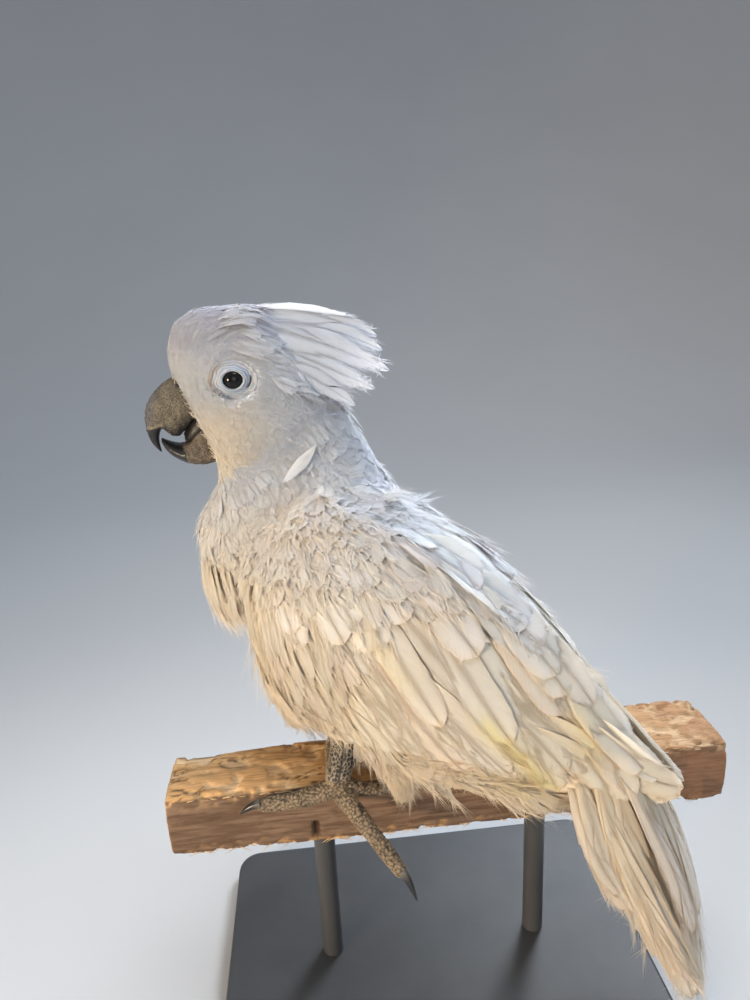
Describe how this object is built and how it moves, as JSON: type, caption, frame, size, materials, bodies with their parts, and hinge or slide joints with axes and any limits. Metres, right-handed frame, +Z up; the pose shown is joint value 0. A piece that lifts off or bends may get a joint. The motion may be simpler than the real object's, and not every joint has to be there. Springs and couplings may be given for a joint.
{
  "type": "white cockatoo model",
  "caption": "Life-size still model of a white cockatoo gripping a cut length of square wooden perch, held up by a plain stand with a flat base.",
  "frame": {"origin": "centre of the underside of the stand's base, on the floor", "axes": "+Z up, +X along the perch, with the bird's head towards -X and its tail towards +X and -Y"},
  "size_m": [0.308, 0.1793, 0.3929],
  "materials": {
    "plumage": "white feathers, matte with a faint sheen",
    "eye": "very dark, wet and glossy",
    "bill": "dark grey horn with a powdery bloom",
    "foot": "scaly grey skin",
    "claw": "dark horn, half glossy",
    "wood": "bare sawn pine, gnawed at the edges",
    "stand_metal": "plain satin charcoal paint"
  },
  "bodies": {
    "root": {"bill_lower": "bill", "bill_upper": "bill", "crest": "plumage", "eye_left": "eye", "eye_right": "eye", "head": "plumage", "left_claw_1": "claw", "left_claw_2": "claw", "left_claw_3": "claw", "left_claw_4": "claw", "left_toe_1": "foot", "left_toe_2": "foot", "left_toe_3": "foot", "left_toe_4": "foot", "neck": "plumage", "perch": "wood", "right_claw_1": "claw", "right_claw_2": "claw", "right_claw_3": "claw", "right_claw_4": "claw", "right_toe_1": "foot", "right_toe_2": "foot", "right_toe_3": "foot", "right_toe_4": "foot", "stand_base": "stand_metal", "stand_rod_1": "stand_metal", "stand_rod_2": "stand_metal", "tail": "plumage", "tarsus_left": "foot", "tarsus_right": "foot", "thigh_left": "plumage", "thigh_right": "plumage", "trunk": "plumage", "wing_left": "plumage", "wing_right": "plumage"}
  },
  "joints": []
}
